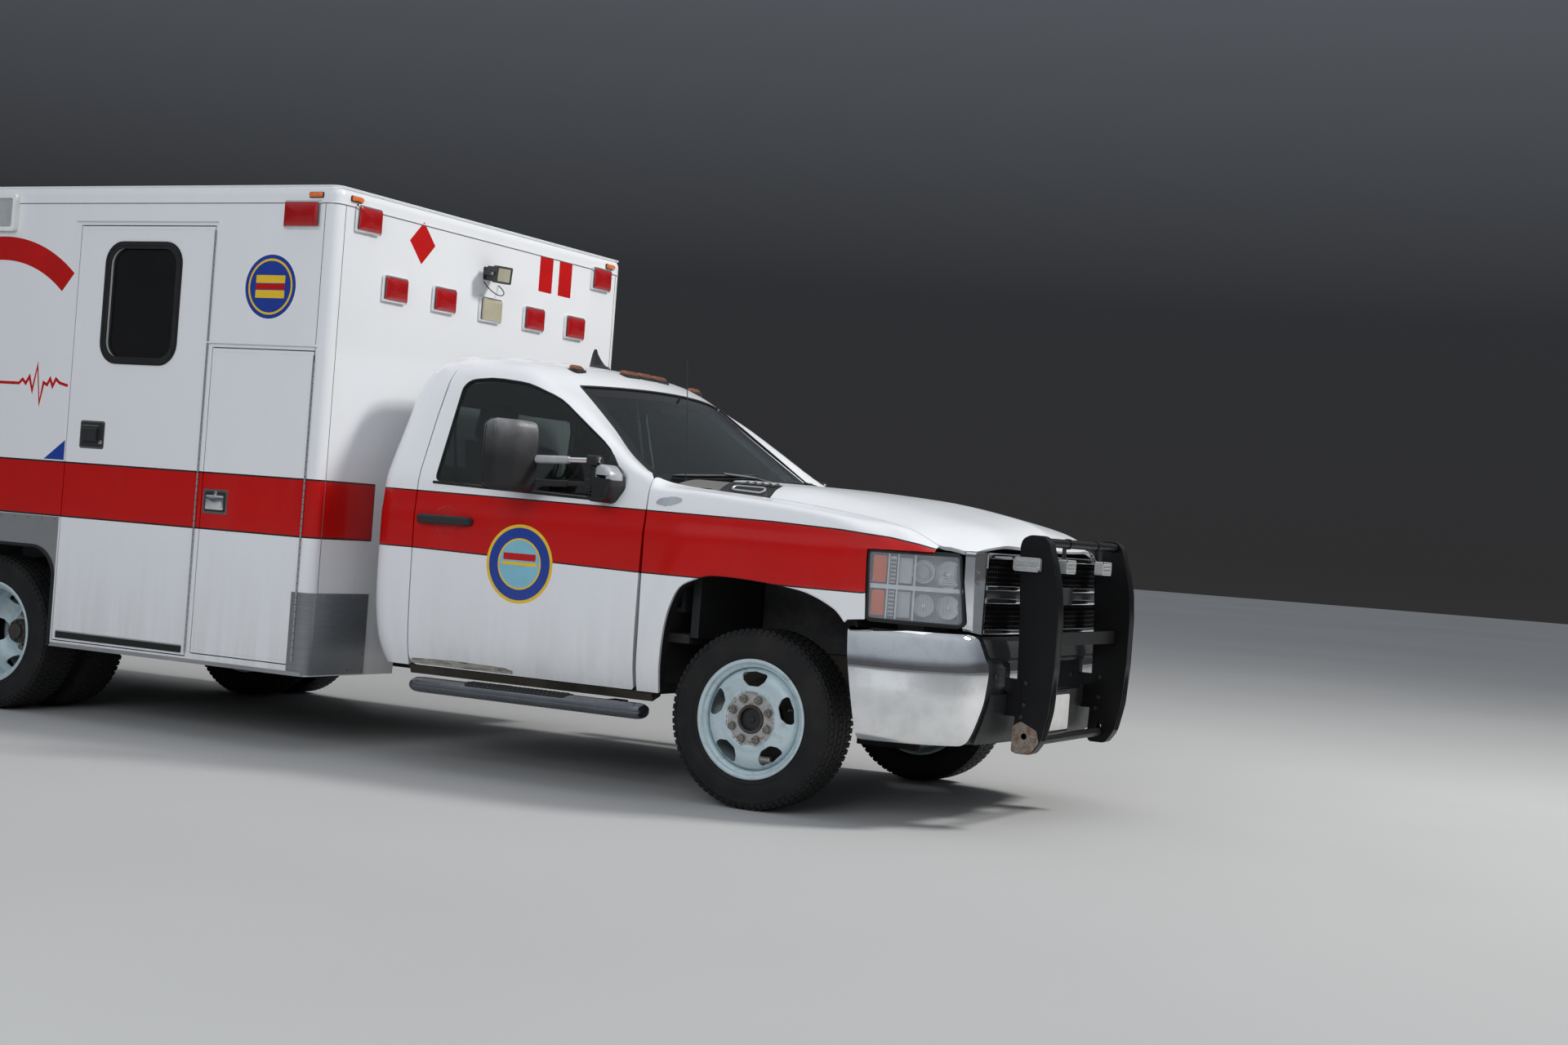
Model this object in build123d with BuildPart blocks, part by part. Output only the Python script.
from build123d import *
import os

os.makedirs("parts", exist_ok=True)

# Box ambulance on a one-ton regular-cab truck chassis. Millimetres.
# Frame: +X forward, +Y left, +Z up; origin on the floor under the middle of
# the whole vehicle. Lengths below are measured from the front axle (x), from
# the middle (y) and from the floor (z); AXLE_X puts the front axle in the frame.

# ---------------------------------------------------------------- driving sizes
AXLE_X = 2771.0            # front axle, from the middle of the vehicle
REAR_AXLE = -4102.0        # wheelbase 161.5 in
HUB_Z = 374.0              # wheel centre height
TYRE_R = 374.0
TYRE_W = 225.0
RIM_R = 224.0              # outside of the rim barrel
FLANGE_R = 247.0
FRONT_WHEEL_Y = 868.0      # middle of a front tyre
KINGPIN_Y = 712.0
DUAL_Y = 924.0             # middle of a rear pair
DUAL_HALF = 160.0

CAB_BACK = -1935.0
COWL_X = -330.0
CAB_LOW = 405.0
BELT_Z = 1257.0
CAB_WALL = 60.0            # wall below the belt
CAB_WALL_UP = 32.0         # pillars, roof and window frames
GAP = 3.0                  # half of a shut line

BOX_FRONT = -2141.0
BOX_REAR = -6411.0
BOX_HALF = 1210.0
BOX_LOW = 343.0
BOX_TOP = 2555.0
BOX_WALL = 60.0
FLOOR_Z = 650.0
FLOOR_T = 50.0
BOX_R = 52.0               # rounded corner rails

RAIL_IN = 380.0
RAIL_OUT = 450.0
RAIL_LOW = 470.0
RAIL_TOP = 640.0


# ---------------------------------------------------------------- drawing planes
def side(y):               # side view; x from the front axle; extrudes to the right
    return Plane(origin=(AXLE_X, y, 0), x_dir=(1, 0, 0), z_dir=(0, -1, 0))


def front(x):              # front view at x; local x is +Y; extrudes forward
    return Plane(origin=(AXLE_X + x, 0, 0), x_dir=(0, 1, 0), z_dir=(1, 0, 0))


def plan(z):               # plan view at z; extrudes up
    return Plane(origin=(AXLE_X, 0, z), x_dir=(1, 0, 0), z_dir=(0, 0, 1))


def outline(plane, pts, radius=0.0, grow=0.0):
    with BuildSketch(plane) as s:
        with BuildLine():
            if isinstance(radius, (int, float)) and radius == 0:
                Polyline(*pts, close=True)
            else:
                FilletPolyline(*pts, radius=radius, close=True)
        make_face()
        if grow:
            offset(amount=grow, kind=Kind.INTERSECTION)
    return s.sketch


def rect(x0, x1, z0, z1):
    return [(x0, z0), (x1, z0), (x1, z1), (x0, z1)]


def block(x0, x1, y0, y1, z0, z1, mode=Mode.ADD):
    with Locations((AXLE_X + (x0 + x1) / 2, (y0 + y1) / 2, (z0 + z1) / 2)):
        Box(abs(x1 - x0), abs(y1 - y0), abs(z1 - z0), mode=mode)


def both(x0, x1, y0, y1, z0, z1, mode=Mode.ADD):      # a pair, right and left
    block(x0, x1, y0, y1, z0, z1, mode)
    block(x0, x1, -y1, -y0, z0, z1, mode)


def rod(x, y, z, r, length, axis, mode=Mode.ADD):      # centred cylinder
    turn = {"x": (0, 90, 0), "y": (90, 0, 0), "z": (0, 0, 0)}[axis]
    with Locations(Location((AXLE_X + x, y, z), turn)):
        Cylinder(r, length, mode=mode)


def save(piece, name):
    piece.part.label = name
    export_step(piece.part, "parts/" + name + ".step")


def save_pair(right, name):                            # right piece and its mirror
    save(right, name + "_right")
    with BuildPart() as left:
        add(mirror(right.part, about=Plane.XZ, mode=Mode.PRIVATE))
    save(left, name + "_left")


# ================================================================ CHASSIS
CROSSMEMBERS = (  # x, half length along x, z low, z high
    (790, 35, 480, 600), (-1900, 40, 545, 625), (-2900, 40, 545, 625), (-3560, 40, 545, 625),
    (-4640, 40, 545, 625), (-5560, 40, 545, 625), (-6300, 40, 480, 625))
OUTRIGGERS = (  # x, y out: carry the cab and the box
    (-700, 620), (-1500, 620), (-2350, 600), (-3250, 600), (-5000, 600), (-5900, 600))

with BuildPart() as chassis_frame:
    both(-6345, 860, RAIL_IN, RAIL_OUT, RAIL_LOW, RAIL_TOP)
    for x, h, z0, z1 in CROSSMEMBERS:
        block(x - h, x + h, -RAIL_IN - 5, RAIL_IN + 5, z0, z1)
    for x, y in OUTRIGGERS:
        both(x - 30, x + 30, RAIL_OUT - 5, y, 570, FLOOR_Z)
save(chassis_frame, "chassis_frame")

with BuildPart() as engine:
    block(-330, 450, -290, 290, 500, 1040)
    block(-1180, -320, -180, 180, 420, 620)
save(engine, "engine")

with BuildPart() as radiator:
    block(655, 715, -370, 370, 500, 650)
    block(655, 715, -640, 640, 648, 1090)
    block(640, 730, -700, 700, 1060, 1100)
save(radiator, "radiator")

# front crossmember with the two pairs of arms; the arms stop short of the knuckles
with BuildPart() as front_suspension:
    block(-130, 130, -500, 500, 360, 470)
    for s in (1, -1):
        low = [(-170, s * 430), (170, s * 430), (45, s * 680), (0, s * 740), (-45, s * 680)]
        extrude(outline(plan(180), low, 10), amount=30)
        high = [(-120, s * 455), (120, s * 455), (40, s * 660), (0, s * 735), (-40, s * 660)]
        extrude(outline(plan(560), high, 10), amount=26)
        rod(0, s * 560, 330, 40, 260, "z")
        block(-130, -100, s * 440, s * 480, 200, 470)
        block(100, 130, s * 440, s * 480, 200, 470)
        block(-110, 110, s * 452, s * 490, 470, 590)
save(front_suspension, "front_suspension")

with BuildPart() as rear_axle:
    rod(REAR_AXLE, 0, HUB_Z, 50, 1840, "y")
    with Locations((AXLE_X + REAR_AXLE, 0, HUB_Z)):
        Sphere(150)
    for s in (1, -1):
        rod(REAR_AXLE, s * 610, HUB_Z, 165, 30, "y")
    shaft = Vector(REAR_AXLE + 120, 0, HUB_Z + 20)
    nose = Vector(-1190, 0, 500)
    run = nose - shaft
    with BuildSketch(Plane(origin=(AXLE_X + shaft.X, 0, shaft.Z), z_dir=(run.X, 0, run.Z))):
        Circle(42)
    extrude(amount=run.length)
save(rear_axle, "rear_axle")

with BuildPart() as leaf_springs:
    for s in (1, -1):
        with BuildSketch(side(s * 500 + 33)):
            with BuildLine():
                a = ThreePointArc((REAR_AXLE - 650, 545), (REAR_AXLE, 430), (REAR_AXLE + 650, 545))
                b = Line(a @ 1, (REAR_AXLE + 650, 580))
                c = ThreePointArc(b @ 1, (REAR_AXLE, 490), (REAR_AXLE - 650, 580))
                Line(c @ 1, a @ 0)
            make_face()
        extrude(amount=66)
        rod(REAR_AXLE - 650, s * 500, 563, 36, 80, "y")
        rod(REAR_AXLE + 650, s * 500, 563, 36, 80, "y")
        block(REAR_AXLE - 60, REAR_AXLE + 60, s * 500 - 40, s * 500 + 40, 424, 500)
save(leaf_springs, "leaf_springs")

with BuildPart() as fuel_tank:
    block(-5480, -4800, -350, 350, 300, 535)
    fillet(fuel_tank.edges().filter_by(Axis.X), 40)
save(fuel_tank, "fuel_tank")

with BuildPart() as exhaust:
    with BuildLine(Plane(origin=(AXLE_X, 0, 0))) as route:
        FilletPolyline((-1200, 255, 400), (-3180, 255, 400), (-3540, 560, 318), (-3560, 1190, 298),
                       radius=(250, 200))
    with BuildSketch(Plane(origin=route.line @ 0, z_dir=route.line % 0)):
        Circle(38)
    sweep()
    rod(-2600, 255, 400, 100, 620, "x")
save(exhaust, "exhaust")

# ================================================================ WHEELS
# profile tables: r from the axle, y out from the middle of the tyre
TYRE = ((RIM_R + 0.3, -88), (FLANGE_R + 4, -94), (292, -TYRE_W / 2), (330, -TYRE_W / 2 + 4), (360, -102),
        (TYRE_R, -88), (TYRE_R, 88), (360, 102), (330, TYRE_W / 2 - 4), (292, TYRE_W / 2),
        (FLANGE_R + 4, 94), (RIM_R + 0.3, 88))
BARREL = ((RIM_R - 12, -104), (FLANGE_R, -104), (FLANGE_R, -96), (RIM_R, -88.5), (RIM_R, 88.5),
          (FLANGE_R, 96), (FLANGE_R, 104), (RIM_R - 12, 104))


def ring(y, x, profile, s):
    # profile rows are (r, outward); s is -1 on the right side, +1 on the left
    pts = [(r, s * (y + w)) for r, w in profile]
    with BuildSketch(Plane(origin=(AXLE_X + x, 0, HUB_Z), x_dir=(1, 0, 0), z_dir=(0, 0, 1))) as sk:
        with BuildLine():
            Polyline(*pts, close=True)
        make_face()
    return revolve(sk.sketch, axis=Axis((AXLE_X + x, 0, HUB_Z), (0, 1, 0)), revolution_arc=360,
                   mode=Mode.PRIVATE)


def slots(x, y, s, count, r0, r1, depth, turn=0.0):
    # rounded windows of a disc wheel, between radius r0 and r1
    cuts = []
    for k in range(count):
        a = turn + 360.0 * k / count
        pl = Plane(origin=(AXLE_X + x, s * (y - depth / 2), HUB_Z), x_dir=(1, 0, 0), z_dir=(0, s, 0))
        with BuildSketch(pl.rotated((0, 0, a))) as sk:
            with BuildLine():
                FilletPolyline((-46, r1), (46, r1), (24, r0), (-24, r0), radius=18, close=True)
            make_face()
        cuts.append(extrude(sk.sketch, amount=depth, mode=Mode.PRIVATE))
    return cuts


# front disc: barrel, a dished disc that stands out, and the hub with its brake disc
FRONT_DISC = ((60, 74), (60, 108), (92, 108), (94, 101), (135, 103), (180, 96), (214, 60), (214, 46),
              (176, 82), (132, 90), (96, 88), (92, 74))
FRONT_HUB = ((60, -76), (60, 80), (78, 80), (78, -46), (165, -46), (165, -70), (78, -70), (78, -76))

for s, name in ((-1, "right"), (1, "left")):
    with BuildPart() as front_tyre:
        add(ring(FRONT_WHEEL_Y, 0, TYRE, s))
    save(front_tyre, "front_tyre_" + name)
    with BuildPart() as front_rim:
        add(ring(FRONT_WHEEL_Y, 0, BARREL, s))
        add(ring(FRONT_WHEEL_Y, 0, FRONT_DISC, s))
        for cut in slots(0, FRONT_WHEEL_Y + 75, s, 5, 140, 192, 90, 0):
            add(cut, mode=Mode.SUBTRACT)
        add(ring(FRONT_WHEEL_Y, 0, FRONT_HUB, s))
    save(front_rim, "front_rim_" + name)
    with BuildPart() as knuckle:
        block(-45, 45, s * (KINGPIN_Y - 35), s * (KINGPIN_Y + 35), 217, 553)
        rod(0, s * (KINGPIN_Y + 55), HUB_Z, 70, 40, "y")
        rod(0, s * (KINGPIN_Y + 110), HUB_Z, 53, 150, "y")
    save(knuckle, "knuckle_" + name)

# rear pairs: two rims back to back, bolted face to face
REAR_DISC = ((60, -14), (60, 14), (132, 14), (176, 40), (RIM_R - 10, 90), (RIM_R - 10, 76),
             (182, 30), (140, 4), (140, -4), (182, -30), (RIM_R - 10, -76), (RIM_R - 10, -90),
             (176, -40), (132, -14))
REAR_HUB = ((60, -40), (60, 60), (88, 60), (92, 14), (92, -40))
for s, name in ((-1, "right"), (1, "left")):
    with BuildPart() as rear_tyres:
        add(ring(DUAL_Y - DUAL_HALF, REAR_AXLE, TYRE, s))
        add(ring(DUAL_Y + DUAL_HALF, REAR_AXLE, TYRE, s))
    save(rear_tyres, "rear_tyres_" + name)
    with BuildPart() as rear_rims:
        add(ring(DUAL_Y, REAR_AXLE, REAR_DISC, s))
        for cut in slots(REAR_AXLE, DUAL_Y, s, 5, 140, 192, 260, 0):
            add(cut, mode=Mode.SUBTRACT)
        add(ring(DUAL_Y - DUAL_HALF, REAR_AXLE, BARREL, s))
        add(ring(DUAL_Y + DUAL_HALF, REAR_AXLE, BARREL, s))
        add(ring(DUAL_Y, REAR_AXLE, REAR_HUB, s))
    save(rear_rims, "rear_rims_" + name)

# ================================================================ CAB
CAB_SECTION = (  # y, z, corner radius, 1 if the corner is above the belt
    (948, CAB_LOW, 25, 0), (996, 560, 150, 0), (1003, 1100, 300, 0), (997, BELT_Z, 60, 0),
    (806, 1738, 60, 1), (655, 1832, 110, 1), (250, 1868, 300, 1))
CAB_PROFILE = (  # x, z, corner radius: side view of cab and roof
    (CAB_BACK + 60, CAB_LOW, 60), (CAB_BACK, 720, 200), (CAB_BACK, 1240, 200), (-1880, 1800, 60),
    (-1790, 1862, 120), (-1450, 1880, 300), (-1130, 1826, 250), (-1010, 1765, 60), (COWL_X + 60, 1352, 20),
    (COWL_X, 1310, 10), (COWL_X, CAB_LOW, 20))
CAB_PLAN = ((CAB_BACK, -964, 84), (-1560, -1004, 300), (COWL_X, -1004, 5), (COWL_X, 1004, 5),
            (-1560, 1004, 300), (CAB_BACK, 964, 84))
GLASS_Z = 1319.0           # height at which the windshield's plan arc is drawn
GLASS_SIDE = (-535, 800)   # its corner
GLASS_MID = -372           # its middle
GLASS_RAKE = (-650, 0, 420)


def cab_solid(low, up):
    """The cab's outer shape, drawn in by low below the belt and by up above it."""
    pts, rad = [], []
    for y, z, r, top in CAB_SECTION:
        d = up if top else low
        y2 = y - d if y > 300 else y
        z2 = z + d if z < 450 else (z - d if z > 1700 else z)
        pts.append((-y2, z2))
        rad.append(r)
    pts += [(-y, z) for y, z in reversed(pts)]
    rad += list(reversed(rad))
    shape = outline(front(CAB_BACK - 20), pts, rad)
    with BuildPart() as b:
        extrude(shape, amount=COWL_X - CAB_BACK + 40)
        prof = outline(side(1300), [(x, z) for x, z, r in CAB_PROFILE], [r for x, z, r in CAB_PROFILE],
                       -up if up else 0)
        extrude(prof, amount=2600, mode=Mode.INTERSECT)
        pl = outline(plan(300), [(x, y) for x, y, r in CAB_PLAN], [r for x, y, r in CAB_PLAN],
                     -up if up else 0)
        extrude(pl, amount=1700, mode=Mode.INTERSECT)
        with BuildSketch(plan(GLASS_Z)) as g:
            with BuildLine():
                a = ThreePointArc((GLASS_SIDE[0] - up * 1.8 - 300, -1100), (GLASS_MID - up * 1.8, 0),
                                  (GLASS_SIDE[0] - up * 1.8 - 300, 1100))
                Polyline(a @ 1, (-3500, 1100), (-3500, -1100), a @ 0)
            make_face()
        extrude(g.sketch, amount=1600, dir=GLASS_RAKE, both=True, mode=Mode.INTERSECT)
    return b.part


cab_outer = cab_solid(0, 0)
cab_inner = cab_solid(CAB_WALL, CAB_WALL_UP)
cab_glass_out = cab_solid(14, 9)
cab_glass_in = cab_solid(20, 15)

DOOR = ((-1745, 437), (-562, 437), (-560, 1345), (-640, 1425), (-812, 1565), (-985, 1702), (-1180, 1785),
        (-1420, 1812), (-1730, 1812), (-1752, 1560), (-1745, 1257))
DOOR_R = (40, 10, 30, 200, 400, 300, 300, 300, 60, 300, 300)
SIDE_WINDOW = ((-1655, 1275), (-790, 1262), (-712, 1345), (-800, 1460), (-960, 1570), (-1120, 1668),
               (-1320, 1730), (-1620, 1735))
SIDE_WINDOW_R = (25, 60, 50, 300, 400, 300, 250, 70)
WINDSHIELD = ((-770, 1338), (770, 1338), (640, 1752), (-640, 1752))


def door_prism(grow, y=-560, depth=600):
    return extrude(outline(side(y), DOOR, DOOR_R, grow), amount=depth, mode=Mode.PRIVATE)


def window_prism(grow, y=-560, depth=600):
    return extrude(outline(side(y), SIDE_WINDOW, SIDE_WINDOW_R, grow), amount=depth, mode=Mode.PRIVATE)


# band in front view that holds a side door: the door wall, not the windshield or the sill
DOOR_BAND = ((-936, 400), (-943, 1246), (-963, 1262), (-772, 1738), (-690, 1798), (-690, 1840),
             (-1100, 1840), (-1100, 400))


def door_band(grow):
    return extrude(outline(front(-2000), DOOR_BAND, 0, grow), amount=1800, mode=Mode.PRIVATE)


windshield_cut = extrude(outline(front(-1165), WINDSHIELD, 60), amount=1000, mode=Mode.PRIVATE)

with BuildPart() as door_space:
    add(door_prism(GAP))
    add(door_band(5), mode=Mode.INTERSECT)

with BuildPart() as cab_shell:
    add(cab_outer)
    add(cab_inner, mode=Mode.SUBTRACT)
    block(CAB_BACK + 55, COWL_X, -925, 925, 650, 690)                      # floor
    block(COWL_X - 40, COWL_X, -850, 850, 640, 1318)                        # firewall
    both(-1740, -565, 860, 925, 460, 690)                                   # sills
    add(door_space.part, mode=Mode.SUBTRACT)
    add(mirror(door_space.part, about=Plane.XZ, mode=Mode.PRIVATE), mode=Mode.SUBTRACT)
    add(windshield_cut, mode=Mode.SUBTRACT)
    # the fender covers the hinge pillar; the arch and the cowl vent stay open
    both(-555, COWL_X + 10, 900, 1010, 400, 1400, Mode.SUBTRACT)
    both(-480, COWL_X + 10, 530, 1010, 400, 775, Mode.SUBTRACT)
    both(-420, COWL_X + 10, 640, 1010, 400, 960, Mode.SUBTRACT)
    # toe board round the front wheel's path
    both(-504, -480, 506, 925, 460, 800)
    both(-504, -400, 506, 880, 776, 800)
    both(-424, -400, 620, 880, 776, 990)
    both(-424, COWL_X, 620, 880, 962, 990)
    block(CAB_BACK - 10, CAB_BACK + 80, -560, 560, 1330, 1640, Mode.SUBTRACT)  # rear window
    block(CAB_BACK - 10, COWL_X + 10, -RAIL_OUT - 20, RAIL_OUT + 20, 400, 648, Mode.SUBTRACT)
save(cab_shell, "cab_shell")

with BuildPart() as cab_glass:
    add(cab_glass_out)
    add(cab_glass_in, mode=Mode.SUBTRACT)
    add(extrude(outline(front(-1165), WINDSHIELD, 60, -2), amount=1000, mode=Mode.PRIVATE), mode=Mode.INTERSECT)
with BuildPart() as cab_glass_all:
    add(cab_glass.part.solids().sort_by(SortBy.VOLUME)[-1])
    block(CAB_BACK + 12, CAB_BACK + 18, -558, 558, 1332, 1638)
save(cab_glass_all, "cab_glass")

with BuildPart() as cab_door:
    add(cab_outer)
    add(cab_inner, mode=Mode.SUBTRACT)
    add(door_prism(-GAP), mode=Mode.INTERSECT)
    add(door_band(0), mode=Mode.INTERSECT)
    add(window_prism(0), mode=Mode.SUBTRACT)
save_pair(cab_door, "cab_door")

# flat glass that leans in with the window frame
PANE = ((-985.8, 1250), (-790.7, 1745), (-784.3, 1745), (-979.4, 1250))
with BuildPart() as door_glass:
    extrude(outline(front(-1800), PANE), amount=1200)
    add(window_prism(-0.5), mode=Mode.INTERSECT)
save_pair(door_glass, "door_glass")

with BuildPart() as mirror_arm:
    with BuildSketch(side(-1070)):
        with BuildLine():
            FilletPolyline((-1252, 1240), (-1010, 1240), (-1000, 1400), (-1010, 1535), (-1225, 1545),
                           (-1262, 1480), radius=(35, 30, 60, 50, 40, 40), close=True)
        make_face()
    extrude(amount=210)
    block(-1060, -700, -1100, -1060, 1268, 1300)
    block(-1060, -700, -1100, -1060, 1368, 1400)
    with BuildSketch(side(-990)):
        with BuildLine():
            FilletPolyline((-770, 1235), (-640, 1262), (-600, 1330), (-640, 1392), (-770, 1392),
                           radius=(30, 40, 30, 40, 30), close=True)
        make_face()
    extrude(amount=115)
    add(cab_outer, mode=Mode.SUBTRACT)
save_pair(mirror_arm, "mirror")

with BuildPart() as cab_seats:
    for y in (-430, 430):
        with BuildSketch(side(y + 250)):
            with BuildLine():
                FilletPolyline((-1560, 760), (-1060, 800), (-1040, 940), (-1480, 930), (-1640, 1470),
                               (-1780, 1470), (-1690, 760), radius=(20, 50, 50, 60, 50, 50, 30), close=True)
            make_face()
        extrude(amount=500)
        block(-1640, -1100, y - 200, y + 200, 690, 800)
        block(-1790, -1690, y - 130, y + 130, 1440, 1660)
save(cab_seats, "cab_seats")

with BuildPart() as dashboard:
    with BuildSketch(side(900)):
        with BuildLine():
            FilletPolyline((-400, 700), (-375, 1200), (-480, 1290), (-740, 1250), (-800, 1130), (-740, 960),
                           (-560, 820), radius=(10, 30, 60, 60, 60, 60, 60), close=True)
        make_face()
    extrude(amount=1800)
    add(cab_solid(CAB_WALL + 2, CAB_WALL_UP + 2), mode=Mode.INTERSECT)
    both(-510, -360, 500, 1000, 600, 995, Mode.SUBTRACT)
save(dashboard, "dashboard")

WHEEL_C = (-900.0, 430.0, 1110.0)     # steering wheel centre
WHEEL_N = (-0.87, 0.0, 0.493)         # its axis, towards the driver
with BuildPart() as steering_wheel:
    pl = Plane(origin=(AXLE_X + WHEEL_C[0], WHEEL_C[1], WHEEL_C[2]), x_dir=(0, 1, 0), z_dir=WHEEL_N)
    with Locations(pl.location):
        Torus(185, 15)
        Cylinder(60, 40)
        Box(370, 34, 16)
    with BuildSketch(pl):
        Circle(20)
    extrude(amount=-92)
save(steering_wheel, "steering_wheel")

# ================================================================ NOSE
NOSE = (  # x, z low, then y and z of: lower side, shoulder, hood line, crown; and z of the middle
    (-555, 436, 985, 1003, 1180, 975, 1300, 800, 1330, 1345),
    (0, 436, 985, 1003, 1180, 965, 1262, 820, 1318, 1345),
    (420, 436, 985, 995, 1150, 955, 1205, 800, 1290, 1325),
    (650, 436, 975, 985, 1100, 945, 1150, 770, 1240, 1280),
    (800, 436, 960, 970, 1080, 930, 1110, 740, 1180, 1230),
    (950, 436, 940, 950, 1050, 905, 1080, 700, 1125, 1150))


def nose_solid(d, back=0.0):
    rows = []
    for x, z0, y1, y2, z2, y3, z3, y4, z4, z5 in NOSE:
        half = [(y1 - d, z0 - back), (y2 - d, z2), (y3 - d, z3 - d * 0.5), (y4, z4 - d), (0, z5 - d)]
        pts = [(-y, z) for y, z in half] + [(y, z) for y, z in reversed(half[:-1])]
        rows.append(outline(front(x), pts))
    with BuildPart() as b:
        loft(rows, ruled=True)
        face = outline(plan(300), NOSE_PLAN, NOSE_PLAN_R, -d if d else 0)
        extrude(face, amount=1300, mode=Mode.INTERSECT)
    return b.part


NOSE_PLAN = ((-600, -1010), (490, -1010), (760, -900), (860, -760), (925, -400), (940, 0), (925, 400),
             (860, 760), (760, 900), (490, 1010), (-600, 1010))
NOSE_PLAN_R = (0, 120, 100, 80, 300, 600, 300, 80, 100, 120, 0)
nose_outer = nose_solid(0)
nose_inner = nose_solid(40, 20)

HOOD = ((-318, -700), (-60, -862), (400, -852), (600, -832), (740, -800), (812, -770), (1000, -760),
        (1000, 760), (812, 770), (740, 800), (600, 832), (400, 852), (-60, 862), (-318, 700))
HOOD_R = (60, 60, 300, 150, 60, 10, 0, 0, 10, 60, 150, 300, 60, 60)
HOOD_LOW = 1135.0
HEADLAMP = ((498, 829), (900, 815), (900, 1113), (486, 1108))


def arch(grow=0.0):
    # wheel arch in side view
    pts = ((-452, 400), (-440, 640), (-372, 880), (-205, 960), (180, 938), (350, 872), (412, 800), (430, 400))
    return outline(side(1050), pts, (0, 150, 160, 120, 160, 60, 20, 0), grow)


with BuildPart() as hood:
    add(nose_outer)
    add(nose_inner, mode=Mode.SUBTRACT)
    extrude(outline(plan(HOOD_LOW), HOOD, HOOD_R), amount=400, mode=Mode.INTERSECT)
save(hood, "hood")

with BuildPart() as front_fenders:
    add(nose_outer)
    add(nose_inner, mode=Mode.SUBTRACT)
    extrude(outline(plan(1000), HOOD, HOOD_R, GAP), amount=500, mode=Mode.SUBTRACT)
    block(-600, 1000, -650, 650, 400, 1500, Mode.SUBTRACT)
    extrude(arch(), amount=2100, mode=Mode.SUBTRACT)
    block(405, 1000, -1050, 1050, 400, 822, Mode.SUBTRACT)
    extrude(outline(side(1050), HEADLAMP, 8, GAP), amount=2100, mode=Mode.SUBTRACT)
    block(700, 1000, -1050, 1050, 400, 1200, Mode.SUBTRACT)
    both(-560, COWL_X + 2, 0, 899, 400, 1500, Mode.SUBTRACT)
save(front_fenders, "front_fenders")

with BuildPart() as headlamps:
    add(nose_outer)
    add(nose_solid(58), mode=Mode.SUBTRACT)
    extrude(outline(side(1050), HEADLAMP, 8), amount=2100, mode=Mode.INTERSECT)
    block(400, 1000, -792, 792, 700, 1300, Mode.SUBTRACT)
save(headlamps, "headlamps")

GRILLE_BARS = ((796, 826), (940, 985), (1105, 1131))       # z low, z high
with BuildPart() as grille:
    extrude(outline(plan(796), NOSE_PLAN, NOSE_PLAN_R), amount=335)
    extrude(outline(plan(796), NOSE_PLAN, NOSE_PLAN_R, -45), amount=335, mode=Mode.SUBTRACT)
    block(-700, 700, -1100, 1100, 700, 1200, Mode.SUBTRACT)
    both(-700, 1000, 788, 1100, 700, 1200, Mode.SUBTRACT)
    for z0, z1 in ((826, 940), (985, 1105)):
        both(700, 1000, 14, 715, z0, z1, Mode.SUBTRACT)
    extrude(outline(plan(826), NOSE_PLAN, NOSE_PLAN_R, -40), amount=279)
    extrude(outline(plan(700), NOSE_PLAN, NOSE_PLAN_R, -52), amount=500, mode=Mode.SUBTRACT)
    block(-700, 720, -1100, 1100, 700, 1200, Mode.SUBTRACT)
    both(-700, 1000, 788, 1100, 700, 1200, Mode.SUBTRACT)
save(grille, "grille")

BUMPER_PLAN = ((415, -994), (600, -985), (760, -935), (890, -800), (935, -600), (962, 0), (935, 600),
               (890, 800), (760, 935), (600, 985), (415, 994))
BUMPER_R = (0, 150, 150, 120, 200, 900, 200, 120, 150, 150, 0)
with BuildPart() as front_bumper:
    extrude(outline(plan(348), BUMPER_PLAN, BUMPER_R), amount=444)
    inner = tuple((x - 46, y * 0.952) for x, y in BUMPER_PLAN)
    extrude(outline(plan(300), ((300, inner[0][1]),) + inner + ((300, inner[-1][1]),),
                    (0,) + BUMPER_R + (0,)), amount=600, mode=Mode.SUBTRACT)
    block(800, 1000, -560, 560, 430, 640, Mode.SUBTRACT)
    both(860, 925, RAIL_IN, RAIL_OUT, 480, 620)
save(front_bumper, "front_bumper")

GUARD_Y = 464.0
GUARD = ((975, 319), (1050, 319), (1108, 560), (1128, 800), (1120, 980), (1085, 1150), (1062, 1217),
         (950, 1217), (948, 1130), (985, 1060), (1000, 900), (995, 620))
GUARD_R = (20, 30, 200, 200, 200, 200, 50, 50, 40, 60, 100, 200)
GUARD_BARS = (  # x, z, half x, half z: cross bars between and through the uprights
    (1032, 1190, 19, 19), (1060, 793, 14, 27), (1025, 368, 19, 19))
with BuildPart() as grille_guard:
    for s in (1, -1):
        extrude(outline(side(s * GUARD_Y + 26), GUARD, GUARD_R), amount=52)
        block(925, 1000, s * GUARD_Y - 36, s * GUARD_Y - 16, 470, 620)
        block(925, 1000, s * GUARD_Y + 16, s * GUARD_Y + 36, 470, 620)
    for x, z, hx, hz in GUARD_BARS:
        block(x - hx, x + hx, -GUARD_Y, GUARD_Y, z - hz, z + hz)
save(grille_guard, "grille_guard")

with BuildPart() as running_boards:
    for s in (1, -1):
        with BuildSketch(front(-1640)):
            with Locations((s * 1050, 360)):
                Ellipse(62, 34)
        extrude(amount=1180)
        for x in (-1440, -820):
            block(x - 40, x + 40, s * 640, s * 1040, 330, 362)
            block(x - 40, x + 40, s * 630, s * 660, 330, CAB_LOW)
save(running_boards, "running_boards")

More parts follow.
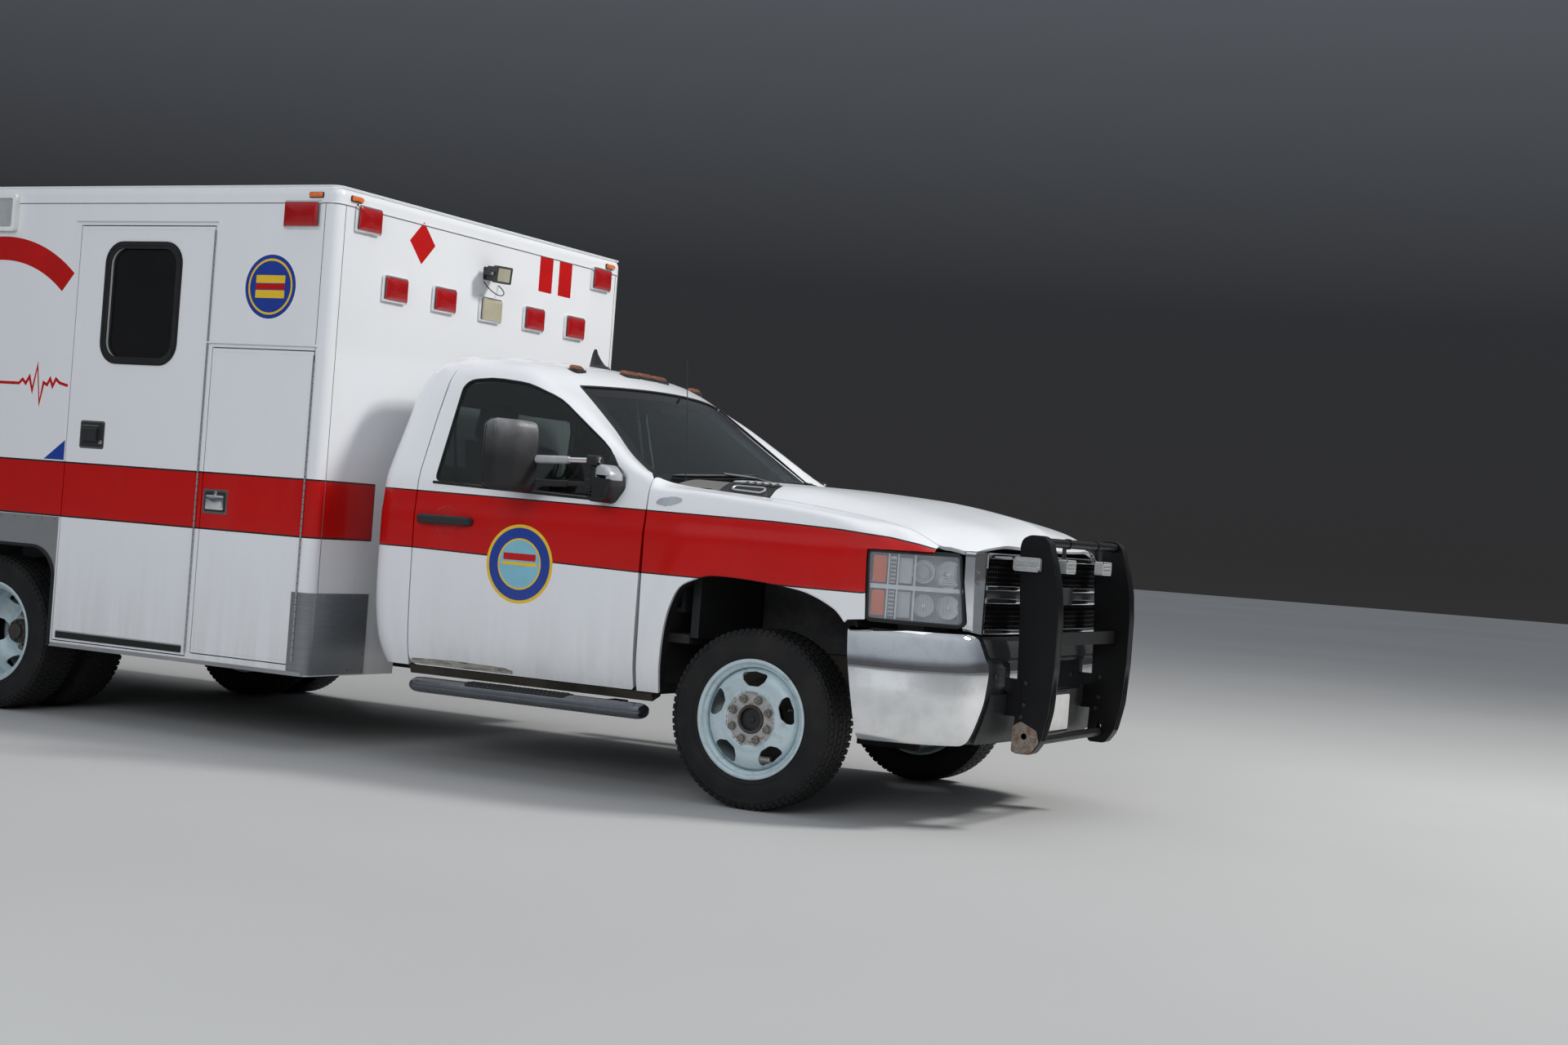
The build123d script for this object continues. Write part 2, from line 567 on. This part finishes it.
# ================================================================ BOX
WHEEL_OPENING = (REAR_AXLE - 420, REAR_AXLE + 412, 300, 812)
OPENINGS = {  # name: x0, x1, z0, z1 of the doorways in a side wall
    "entry": (-3670, -2840, 376, 2358),
    "rf": (-2802, -2212, 393, 1798),
    "rr": (-5560, -4640, 393, 1798),
    "lf": (-3560, -2212, 393, 1798),
    "lr": (-5900, -4640, 393, 2100),
}
LOCKERS = (  # x0, x1, side, z0, z1, depth of the locker behind each outside door
    (-2815, BOX_FRONT - BOX_WALL, -1, 385, 1815, 420), (-5600, -4600, -1, 385, 1815, 430),
    (-3600, BOX_FRONT - BOX_WALL, 1, 385, 1815, 520), (-5940, -4600, 1, 385, 2120, 520))
DOORWAY_GAP = 5.0
DOOR_T = 46.0
SIDE_GLASS = (-3471, -3054, 1735, 2256)
BENCH_GLASS = (-5500, -4700, 1900, 2256)
REAR_DOOR = (8, 610, 690, 2300)       # y0, y1, z0, z1
REAR_GLASS = (130, 490, 1560, 2160)

with BuildPart() as box_roof:
    block(BOX_REAR, BOX_FRONT, -BOX_HALF, BOX_HALF, BOX_TOP - BOX_WALL, BOX_TOP)
    fillet(box_roof.edges().filter_by(Axis.Z), BOX_R)
    fillet(box_roof.edges().group_by(Axis.Z)[-1], BOX_R - 4)
save(box_roof, "box_roof")

with BuildPart() as box_floor:
    block(BOX_REAR + BOX_WALL, BOX_FRONT - BOX_WALL, -BOX_HALF + BOX_WALL, BOX_HALF - BOX_WALL,
          FLOOR_Z, FLOOR_Z + FLOOR_T)
    # wheel housings stand up through the floor
    both(REAR_AXLE - 440, REAR_AXLE + 432, 600, BOX_HALF - BOX_WALL, FLOOR_Z, 860)
    both(REAR_AXLE - 420, REAR_AXLE + 412, 620, BOX_HALF, 300, 840, Mode.SUBTRACT)
    # stairwell inside the entry door
    block(-3670, -2840, -BOX_HALF, -860, FLOOR_Z - 10, FLOOR_Z + 100, Mode.SUBTRACT)
    block(-3690, -2820, -BOX_HALF + BOX_WALL, -840, 380, 400)
    block(-3690, -3672, -BOX_HALF + BOX_WALL, -840, 380, FLOOR_Z + 5)
    block(-2838, -2820, -BOX_HALF + BOX_WALL, -840, 380, FLOOR_Z + 5)
    block(-3690, -2820, -858, -840, 380, FLOOR_Z + 5)
    for x0, x1, s, z0, z1, d in LOCKERS:
        block(x0, x1, s * (BOX_HALF - BOX_WALL - d), s * BOX_HALF, z0, z1, Mode.SUBTRACT)
save(box_floor, "box_floor")


def side_wall(s, names, glass):
    with BuildPart() as w:
        block(BOX_REAR + BOX_WALL, BOX_FRONT - BOX_WALL, s * (BOX_HALF - BOX_WALL), s * BOX_HALF,
              BOX_LOW, BOX_TOP - BOX_WALL)
        for n in names:
            x0, x1, z0, z1 = OPENINGS[n]
            g = DOORWAY_GAP
            block(x0 - g, x1 + g, s * 1000, s * 1300, z0 - g, z1 + g, Mode.SUBTRACT)
        x0, x1, z0, z1 = WHEEL_OPENING
        extrude(outline(side(s * 1100 + 200), rect(x0, x1, z0, z1), (0, 0, 150, 150)), amount=400,
                mode=Mode.SUBTRACT)
        for x0, x1, z0, z1 in glass:
            extrude(outline(side(s * 1100 + 200), rect(x0, x1, z0, z1), 80), amount=400, mode=Mode.SUBTRACT)
    return w


right_wall = side_wall(-1, ("entry", "rf", "rr"), (BENCH_GLASS,))
save(right_wall, "box_right_wall")
left_wall = side_wall(1, ("lf", "lr"), ())
save(left_wall, "box_left_wall")

with BuildPart() as box_front_wall:
    block(BOX_FRONT - BOX_WALL, BOX_FRONT, -BOX_HALF, BOX_HALF, BOX_LOW, BOX_TOP - BOX_WALL)
    fillet(box_front_wall.edges().filter_by(Axis.Z).group_by(Axis.X)[-1], BOX_R)
    block(BOX_FRONT - 100, BOX_FRONT + 20, -560, 560, 300, FLOOR_Z, Mode.SUBTRACT)
save(box_front_wall, "box_front_wall")

with BuildPart() as box_rear_wall:
    block(BOX_REAR, BOX_REAR + BOX_WALL, -BOX_HALF, BOX_HALF, BOX_LOW, BOX_TOP - BOX_WALL)
    fillet(box_rear_wall.edges().filter_by(Axis.Z).group_by(Axis.X)[0], BOX_R)
    block(BOX_REAR - 20, BOX_REAR + 100, -REAR_DOOR[1] - 5, REAR_DOOR[1] + 5, REAR_DOOR[2] - 5,
          REAR_DOOR[3] + 5, Mode.SUBTRACT)
    block(BOX_REAR - 20, BOX_REAR + 100, -560, 560, 300, FLOOR_Z, Mode.SUBTRACT)
save(box_rear_wall, "box_rear_wall")


def box_door(name, s, glass=None, radius=80):
    x0, x1, z0, z1 = OPENINGS[name]
    with BuildPart() as d:
        block(x0, x1, s * (BOX_HALF - DOOR_T), s * BOX_HALF, z0, z1)
        if glass:
            extrude(outline(side(s * 1100 + 200), rect(*glass), radius), amount=400, mode=Mode.SUBTRACT)
    return d


save(box_door("entry", -1, SIDE_GLASS), "entry_door")
save(box_door("rf", -1), "right_front_locker_door")
save(box_door("rr", -1), "right_rear_locker_door")
save(box_door("lf", 1), "left_front_locker_door")
save(box_door("lr", 1), "left_rear_locker_door")

with BuildPart() as entry_door_glass:
    extrude(outline(side(-BOX_HALF + 22), rect(*SIDE_GLASS), 80, -0.5), amount=6)
save(entry_door_glass, "entry_door_glass")
with BuildPart() as side_glass:
    extrude(outline(side(-BOX_HALF + 22), rect(*BENCH_GLASS), 80, -0.5), amount=6)
save(side_glass, "side_glass")

y0, y1, z0, z1 = REAR_DOOR
g0, g1, h0, h1 = REAR_GLASS
with BuildPart() as rear_door:
    block(BOX_REAR, BOX_REAR + DOOR_T, -y1, -y0, z0, z1)
    extrude(outline(front(BOX_REAR - 50), rect(-g1, -g0, h0, h1), 80), amount=200, mode=Mode.SUBTRACT)
save_pair(rear_door, "rear_door")
with BuildPart() as rear_door_glass:
    extrude(outline(front(BOX_REAR + 16), rect(-g1, -g0, h0, h1), 80, -0.5), amount=6)
save_pair(rear_door_glass, "rear_door_glass")

with BuildPart() as lockers:
    for x0, x1, s, z0, z1, d in LOCKERS:
        ya, yb = BOX_HALF - BOX_WALL - d, BOX_HALF - BOX_WALL
        block(x0, x1, s * ya, s * yb, z0, z1)
        block(x0 + 16, x1 - 16, s * (ya + 16), s * (yb + 5), z0 + 16, z1 - 16, Mode.SUBTRACT)
save(lockers, "lockers")

with BuildPart() as squad_bench:
    block(-6100, -4620, -700, -300, FLOOR_Z + FLOOR_T, 1180)
    fillet(squad_bench.edges().group_by(Axis.Z)[-1], 40)
save(squad_bench, "squad_bench")

with BuildPart() as rear_step:
    block(-6670, -6420, -1130, 1130, 455, 520)
    fillet(rear_step.edges().filter_by(Axis.Z).group_by(Axis.X)[0], 60)
    block(-6700, -6560, -110, 110, 440, 540, Mode.SUBTRACT)
    block(-6650, -6420, -60, 60, 400, 420)
    block(-6450, -6420, -60, 60, 400, 470)
    both(-6425, -6346, RAIL_IN, RAIL_OUT, 470, 520)
    rod(-6605, 0, 410, 13, 40, "z", Mode.SUBTRACT)
save(rear_step, "rear_step")

# ---------------------------------------------------------------- lights on the box
FRONT_LIGHTS = (  # y, z: flashing lights on the front wall
    (-995, 2422), (995, 2422), (-768, 2135), (-384, 2135), (0, 2135), (384, 2135), (768, 2135))
SIDE_LIGHTS = (  # x, z, half length, half height
    (-2329, 2414, 103, 64), (-4180, 2419, 86, 90), (-6200, 2414, 103, 64))
REAR_LIGHTS = (  # y, z, half y, half z
    (1040, 2414, 80, 64), (1040, 1100, 55, 100), (1040, 880, 55, 60))
with BuildPart() as warning_lights:
    for y, z in FRONT_LIGHTS:
        block(BOX_FRONT, BOX_FRONT + 32, y - 88, y + 88, z - 62, z + 62)
    for s in (1, -1):
        for x, z, a, b in SIDE_LIGHTS:
            block(x - a, x + a, s * BOX_HALF, s * (BOX_HALF + 32), z - b, z + b)
        for y, z, a, b in REAR_LIGHTS:
            block(BOX_REAR - 32, BOX_REAR, s * y - a, s * y + a, z - b, z + b)
save(warning_lights, "warning_lights")
